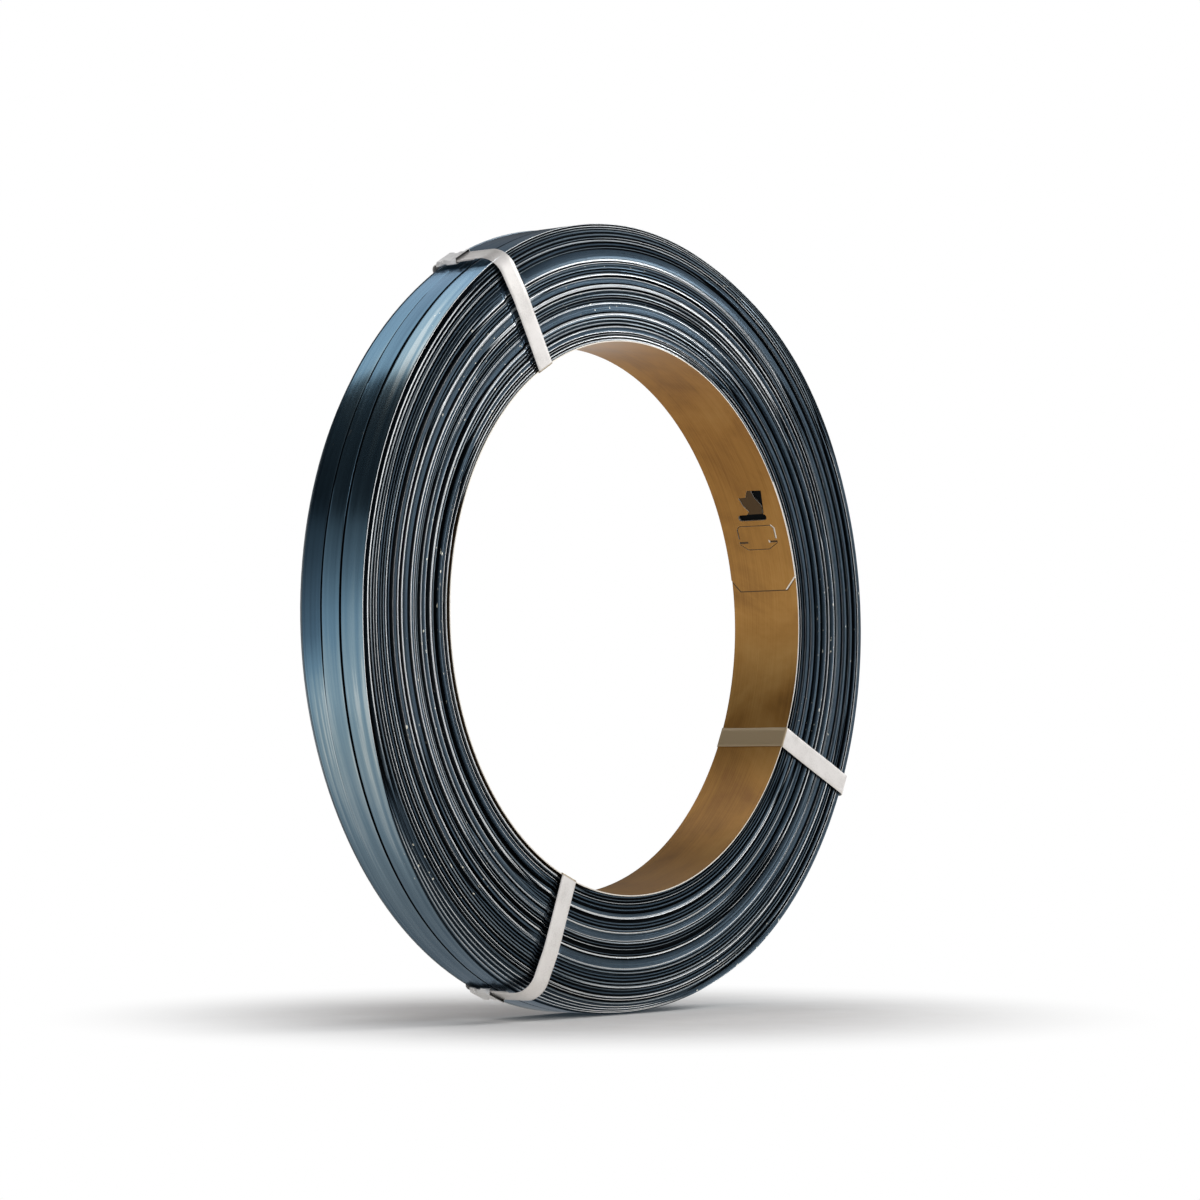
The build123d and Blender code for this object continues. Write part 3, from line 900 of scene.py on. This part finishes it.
def tie_piece(number, angle):
    """Strip led round the coil's section, with rounded edges and a little waviness along it."""
    rng = np.random.default_rng(40 + number)
    if number == SQUARE_TIE:
        front_corners = [(OVER, TIE_SPAN)]
        front_bends = [SQUARE_BEND]
    else:
        front_corners = [(OVER, TIE_SPAN - LEAN), (LEAN_START, TIE_SPAN)]
        front_bends = [FRONT_BEND, LEAN_BEND]
    route = rounded_route(
        [(OVER, SEAL_BACK)] + front_corners
        + [(BORE_RUN, TIE_SPAN), (BORE_RUN, -TIE_SPAN), (UNDER, -TIE_SPAN), (UNDER, SEAL_FRONT + TIE_TAIL)],
        front_bends + [BORE_BEND, BORE_BEND, BACK_BEND],
        1.0,
    )
    heading = np.gradient(route, axis=0)
    heading /= np.linalg.norm(heading, axis=1)[:, None]
    normal = np.stack([heading[:, 1], -heading[:, 0]], axis=1)
    along = np.concatenate([[0], np.cumsum(np.linalg.norm(np.diff(route, axis=0), axis=1))])
    half_width = TIE_WIDTH / 2 + 0.04 * np.sin(along / 9 + rng.uniform(0, 6))
    on_rim = (route[:, 0] > RIM) & (abs(heading[:, 1]) > 0.9)
    half_width = half_width - NOTCH_DEPTH * notch_share(route[:, 1]) * on_rim
    sway = 0.10 * np.sin(along / 23 + rng.uniform(0, 6)) + 0.06 * np.sin(along / 11 + rng.uniform(0, 6))
    under = along > along[-1] - (SEAL_FRONT + TIE_TAIL - SEAL_BACK)
    sway = sway + tail_skew(number, route[:, 1]) * under
    sway = sway + tail_skew(number, SEAL_BACK) * ~under * step((along - along[-1] + 150) / 100)
    half = TIE_SHEET / 2
    section = [(-1.0, -0.11), (-1.0, 0.11), (-0.985, half)]
    section += [(share, half) for share in (-0.6, -0.2, 0.2, 0.6)]
    section += [(0.985, half), (1.0, 0.11), (1.0, -0.11), (0.985, -half)]
    section += [(share, -half) for share in (0.6, 0.2, -0.2, -0.6)]
    section += [(-0.985, -half)]
    rings = []
    for i in range(len(route)):
        across = np.array([s[0] for s in section]) * half_width[i]
        lift = np.array([s[1] for s in section])
        radial = route[i, 0] + normal[i, 0] * lift
        front = route[i, 1] + normal[i, 1] * lift
        rings.append(at_tie(angle, radial, front, across + sway[i]))
    points = np.vstack(rings)
    faces = tube_faces(len(rings), len(section))
    piece = make_piece(f"tie_band_{number}", points, faces, TIE, [f"tie_strap_{number}"], 50.0)
    # The run through the bore takes the tan tint: painted reflection of the core and painted shade.
    in_bore = step((BORE_RUN + 1.5 - route[:, 0]) / 1.2)
    set_attribute(piece, "shade_tint", np.repeat(in_bore, len(section)))


def seal_loop(half_width, high, low, corner):
    """Points round a seal's section, clockwise from its right: a flat box with rounded corners."""
    arc = [(math.cos(a) - 1.0, math.sin(a) - 1.0) for a in np.radians([0, 30, 60, 90])]
    right_top = [(half_width + corner * x, high + corner * y) for x, y in arc]
    left_top = [(-x, y) for x, y in right_top[::-1]]
    right_low = [(half_width + corner * x, low - corner * y) for x, y in arc]
    left_low = [(-x, y) for x, y in right_low]
    inner = 0.45 * half_width
    top = right_top + [(inner, high), (-inner, high)] + left_top
    return np.array(top + left_low + [(-inner, low), (inner, low)] + right_low[::-1])


def seal_piece(number, angle):
    """Crimped sleeve round both layers of the tie, pinched in at its sides, with a lifted front mouth."""
    rng = np.random.default_rng(70 + number)
    inner_height = 2 * TIE_SHEET + TIE_LAP_GAP + 2 * SEAL_CLEARANCE
    inner_half = TIE_WIDTH / 2 + SEAL_CLEARANCE
    centre_radius = (UNDER + OVER) / 2
    notch_middle = SEAL_LENGTH / 2 - NOTCH_SETBACK
    notch_edges = (-0.4, -0.15, 0.15, 0.4)
    notch_ends = [notch_middle + side * (NOTCH_LENGTH / 2 + edge) for side in (-1, 1) for edge in notch_edges]
    stations = np.array(sorted(notch_ends + list(np.arange(0.0, SEAL_LENGTH, 0.9)) + [SEAL_LENGTH]))
    rings = []
    for along in stations:
        front = SEAL_BACK + along
        pinch = NOTCH_DEPTH * float(notch_share(np.array(front)))
        mouth = step((along - SEAL_LENGTH + MOUTH_LENGTH) / MOUTH_LENGTH)
        lift = MOUTH_LIFT * mouth + 0.05 * math.sin(along * 1.3 + number)
        droop = 0.55 + 0.25 * step((6.0 - along) / 6.0)
        high, low = inner_height / 2 + lift, -inner_height / 2 - droop
        inside_loop = seal_loop(inner_half - pinch, high, low, 0.15)
        outside_loop = seal_loop(
            inner_half + SEAL_SHEET - pinch + rng.normal(0, 0.02), high + SEAL_SHEET, low - SEAL_SHEET, 0.8
        )
        loop = np.vstack([outside_loop, inside_loop])
        lean = tail_skew(number, front) * np.clip(0.5 - loop[:, 1] / 2.0, 0.0, 1.0)
        radial = centre_radius + loop[:, 1]
        rings.append(at_tie(angle, radial, np.full(len(loop), front), loop[:, 0] + lean))
    size = len(outside_loop)
    faces = []
    for ring in range(len(rings) - 1):
        base, following = 2 * size * ring, 2 * size * (ring + 1)
        for i in range(size):
            j = (i + 1) % size
            faces.append((base + i, base + j, following + j, following + i))
            faces.append((base + size + j, base + size + i, following + size + i, following + size + j))
    last = 2 * size * (len(rings) - 1)
    for i in range(size):
        j = (i + 1) % size
        faces.append((j, i, size + i, size + j))
        faces.append((last + i, last + j, last + size + j, last + size + i))
    points = np.vstack(rings)
    piece = make_piece(f"tie_sleeve_{number}", points, faces, SEAL, [f"tie_seal_{number}"], 40.0)
    # The inside faces of the sleeve take the near-black tint: painted shade.
    set_attribute(piece, "shade_tint", np.tile(np.repeat([0.0, 1.0], size), len(rings)))


for number, angle in enumerate(TIE_ANGLES, 1):
    tie_piece(number, angle)
    seal_piece(number, angle)

# Stage, light and camera

scene = bpy.context.scene
scene.view_settings.view_transform = "Standard"

world = bpy.data.worlds.new("studio")
scene.world = world
world.use_nodes = True
sky = world.node_tree
sky.nodes["Background"].inputs["Strength"].default_value = 1.0
# Bright behind and beside the roll, dark high up behind it and in front of it, where the camera stands
way = add(sky, "ShaderNodeSeparateXYZ", {0: add(sky, "ShaderNodeTexCoord").outputs["Generated"]})
rise = maths(sky, "ADD", maths(sky, "MULTIPLY", way.outputs["Z"], 0.5), 0.5)
behind = ramp(sky, rise, [(0.505, 1.0), (0.60, 0.45), (0.668, 0.26), (0.686, 0.03), (0.95, 0.03)])
facing = maths(sky, "ADD", way.outputs["Y"], way.outputs["Z"])
facing = maths(sky, "ADD", maths(sky, "MULTIPLY", facing, 0.5), 0.5)
ahead = ramp(sky, facing, [(0.07, 0.05), (0.19, 0.22), (0.28, 0.48), (0.36, 0.70)])
side = map_range(sky, way.outputs["Y"], -0.3, 0.1)
behind_right = ramp(sky, rise, [(0.54, 0.05), (0.63, 0.08), (0.70, 0.22), (0.85, 0.30)])
across = map_range(sky, way.outputs["X"], 0.2, 0.5)
surround = mix(sky, side, ahead, mix(sky, across, behind, behind_right))
path = add(sky, "ShaderNodeLightPath")
surround = mix(sky, path.outputs["Is Camera Ray"], surround, (1.0, 1.0, 1.0))
seen = maths(sky, "ADD", path.outputs["Is Camera Ray"], path.outputs["Is Glossy Ray"], clamp=True)
seen = maths(sky, "ADD", seen, path.outputs["Is Transmission Ray"], clamp=True)
sky.links.new(mix(sky, seen, (0.36, 0.36, 0.37), surround), sky.nodes["Background"].inputs["Color"])


def floor_material():
    """Pale studio floor that runs out into the white background away from the object."""
    material, tree, shader = new_material("studio_floor")
    place = add(tree, "ShaderNodeTexCoord").outputs["Object"]
    away = add(tree, "ShaderNodeVectorMath", {0: place}, operation="LENGTH").outputs["Value"]
    grain = noise(tree, place, scale=30.0, detail=3.0)
    light = add(tree, "ShaderNodeLightPath")
    pale = ramp(tree, grain, [(0.3, (0.87, 0.86, 0.845)), (0.7, (0.91, 0.905, 0.895))])
    # In reflections the floor is warm: painted reflection of warm surroundings.
    pale = mix(tree, light.outputs["Is Glossy Ray"], pale, (0.92, 0.80, 0.64))
    tree.links.new(pale, shader.inputs["Base Color"])
    shader.inputs["Roughness"].default_value = 0.8
    beside = add(tree, "ShaderNodeVectorMath", {0: place, 1: (0.5, 0.45, 0.0)}, operation="DISTANCE")
    fade = map_range(tree, away, 0.12, 0.42, "SMOOTHSTEP")
    mirrored_fade = map_range(tree, beside.outputs["Value"], 0.35, 1.3)
    mirrored = light.outputs["Is Glossy Ray"]
    mirrored = maths(tree, "ADD", mirrored, light.outputs["Is Transmission Ray"], clamp=True)
    shown = maths(tree, "MULTIPLY", light.outputs["Is Camera Ray"], fade)
    shown = maths(tree, "ADD", shown, maths(tree, "MULTIPLY", mirrored, mirrored_fade), clamp=True)
    white = add(tree, "ShaderNodeEmission", {"Color": (1.0, 1.0, 1.0, 1.0), "Strength": 1.0})
    blend = add(tree, "ShaderNodeMixShader", {0: shown})
    tree.links.new(shader.outputs[0], blend.inputs[1])
    tree.links.new(white.outputs[0], blend.inputs[2])
    tree.links.new(blend.outputs[0], tree.nodes["Material Output"].inputs["Surface"])
    return material


FLOOR_RADIUS = 8.0
FLOOR_DROP = 0.0004
FLOOR_SIDES = 64
floor_mesh = bpy.data.meshes.new("studio_floor")
floor_ring = [
    (FLOOR_RADIUS * math.cos(a), FLOOR_RADIUS * math.sin(a), -FLOOR_DROP)
    for a in np.linspace(0, math.tau, FLOOR_SIDES, endpoint=False)
]
floor_mesh.from_pydata(floor_ring, [], [tuple(range(FLOOR_SIDES))])
floor_mesh.materials.append(floor_material())
floor = bpy.data.objects.new("studio_floor", floor_mesh)
scene.collection.objects.link(floor)


def softbox(name, place, target, width, depth, power):
    """White area lamp that looks at a target, in metres and watts."""
    lamp = bpy.data.lights.new(name, "AREA")
    lamp.shape = "RECTANGLE"
    lamp.size = width
    lamp.size_y = depth
    lamp.energy = power
    holder = bpy.data.objects.new(name, lamp)
    holder.location = place
    holder.rotation_euler = (Vector(target) - Vector(place)).to_track_quat("-Z", "Y").to_euler()
    scene.collection.objects.link(holder)


softbox("key_right", (2.3, -1.1, 1.9), (0.0, 0.0, 0.3), 1.2, 1.2, 38.0)
softbox("top_back", (-0.045, 0.85, 1.45), (-0.045, 0.0, 0.5), 0.89, 0.45, 1.8)
softbox("front_low", (1.7, -2.7, 0.8), (-0.2, 0.0, 0.3), 1.3, 1.3, 12.0)
softbox("fill_left", (-2.6, -2.4, 1.7), (0.0, 0.0, 0.3), 1.6, 1.6, 16.0)

CAMERA_LENS = 110.68
CAMERA_SENSOR = 36.0
CAMERA_PLACE = (-2.1079, -1.7257, 0.1702)
CAMERA_WAY = (0.7725, 0.6331, 0.0491)
camera_data = bpy.data.cameras.new("camera")
camera_data.lens = CAMERA_LENS
camera_data.sensor_width = CAMERA_SENSOR
camera = bpy.data.objects.new("camera", camera_data)
camera.location = CAMERA_PLACE
camera.rotation_euler = Vector(CAMERA_WAY).to_track_quat("-Z", "Y").to_euler()
scene.collection.objects.link(camera)
scene.camera = camera

bpy.context.view_layer.update()
